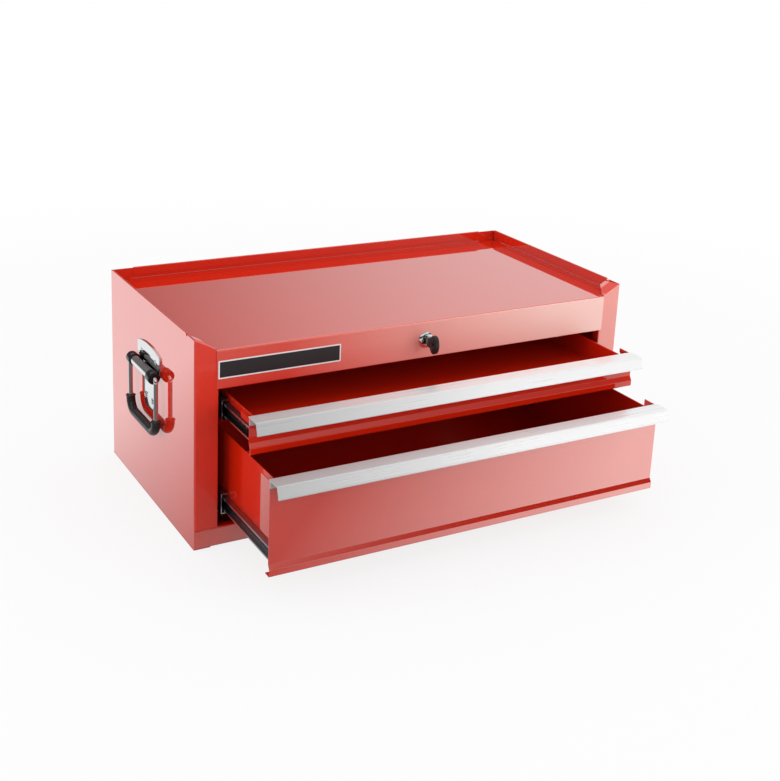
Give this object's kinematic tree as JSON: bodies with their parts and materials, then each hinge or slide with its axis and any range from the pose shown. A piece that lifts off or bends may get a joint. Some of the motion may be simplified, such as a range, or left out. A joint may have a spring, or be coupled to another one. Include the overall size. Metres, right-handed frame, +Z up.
{
  "type": "portable tool box with drawers",
  "caption": "Portable steel tool box with drawers on ball slides, a rimmed top tray, pull profiles, a key lock and folding side handles.",
  "frame": {"origin": "middle of the cabinet's underside, on the surface that it stands on", "axes": "+X to the right along the drawer fronts, +Y from the front to the back, +Z up"},
  "size_m": [0.6756, 0.4849, 0.2766],
  "materials": {
    "red_paint": "gloss red paint on folded sheet",
    "pull_aluminium": "satin anodised extrusion",
    "zinc": "bright zinc plate",
    "black_steel": "black finish on steel",
    "chrome": "polished chrome plate",
    "black_plastic": "fine-grained black plastic",
    "ball_steel": "polished ball steel",
    "key_steel": "nickel-plated steel",
    "plate_dark": "dark blank plate with a pale border"
  },
  "bodies": {
    "cabinet": {"back_panel": "red_paint", "bottom_panel": "red_paint", "left_front_upright": "red_paint", "left_handle_bushes": "black_plastic", "left_handle_plate": "chrome", "left_handle_rivets": "chrome", "left_lower_cabinet_rail": "zinc", "left_rear_upright": "red_paint", "left_side_panel": "red_paint", "left_upper_cabinet_rail": "black_steel", "lock_bar_guides": "zinc", "lock_housing": "chrome", "lock_nut": "zinc", "name_plate": "plate_dark", "right_front_upright": "red_paint", "right_handle_bushes": "black_plastic", "right_handle_plate": "chrome", "right_handle_rivets": "chrome", "right_lower_cabinet_rail": "zinc", "right_rear_upright": "red_paint", "right_side_panel": "red_paint", "right_upper_cabinet_rail": "black_steel", "slide_screws": "zinc", "top_panel": "red_paint"},
    "lower_drawer": {"lower_drawer_front": "red_paint", "lower_drawer_left_rail": "zinc", "lower_drawer_pan": "red_paint", "lower_drawer_pull": "pull_aluminium", "lower_drawer_right_rail": "zinc", "lower_drawer_slide_rivets": "zinc"},
    "upper_drawer": {"upper_drawer_front": "red_paint", "upper_drawer_left_rail": "black_steel", "upper_drawer_pan": "red_paint", "upper_drawer_pull": "pull_aluminium", "upper_drawer_right_rail": "black_steel", "upper_drawer_slide_rivets": "zinc"},
    "lower_cages": {"lower_left_balls": "ball_steel", "lower_left_cage": "zinc", "lower_right_balls": "ball_steel", "lower_right_cage": "zinc"},
    "upper_cages": {"upper_left_balls": "ball_steel", "upper_left_cage": "zinc", "upper_right_balls": "ball_steel", "upper_right_cage": "zinc"},
    "lock_plug": {"lock_plug": "chrome", "lock_cam": "zinc", "cam_screw": "zinc"},
    "key": {"key_blade": "key_steel", "key_bow": "black_plastic"},
    "lock_bar": {"lock_bar": "zinc"},
    "left_bail": {"left_bail": "chrome", "left_grip": "black_plastic"},
    "right_bail": {"right_bail": "chrome", "right_grip": "black_plastic"}
  },
  "joints": [
    {"name": "lower_drawer_slide", "type": "slide", "parent": "cabinet", "child": "lower_drawer", "axis": [0, -1, 0], "range_m": [-0.14, 0.06]},
    {"name": "upper_drawer_slide", "type": "slide", "parent": "cabinet", "child": "upper_drawer", "axis": [0, -1, 0], "range_m": [-0.08, 0.12]},
    {"name": "lower_cages_roll", "type": "slide", "parent": "cabinet", "child": "lower_cages", "axis": [0, -1, 0], "range_m": [-0.07, 0.03]},
    {"name": "upper_cages_roll", "type": "slide", "parent": "cabinet", "child": "upper_cages", "axis": [0, -1, 0], "range_m": [-0.04, 0.06]},
    {"name": "lock_turn", "type": "hinge", "parent": "cabinet", "child": "lock_plug", "pos_m": [0, -0.16, 0.23475], "axis": [0, -1, 0], "range_deg": [0, 90]},
    {"name": "key_withdraw", "type": "slide", "parent": "lock_plug", "child": "key", "axis": [0, -1, 0], "range_m": [0, 0.03]},
    {"name": "lock_bar_shift", "type": "slide", "parent": "cabinet", "child": "lock_bar", "axis": [1, 0, 0], "range_m": [0, 0.01273]},
    {"name": "left_bail_swing", "type": "hinge", "parent": "cabinet", "child": "left_bail", "pos_m": [-0.3296, 0, 0.188], "axis": [0, 1, 0], "range_deg": [-2, 90]},
    {"name": "right_bail_swing", "type": "hinge", "parent": "cabinet", "child": "right_bail", "pos_m": [0.3296, 0, 0.188], "axis": [0, -1, 0], "range_deg": [-2, 90]}
  ],
  "couplings": [
    {"joint": "lower_cages_roll", "follows": "lower_drawer_slide", "ratio": 0.5},
    {"joint": "upper_cages_roll", "follows": "upper_drawer_slide", "ratio": 0.5},
    {"joint": "lock_turn", "follows": "lock_bar_shift", "rad_per_m": 123.41}
  ]
}
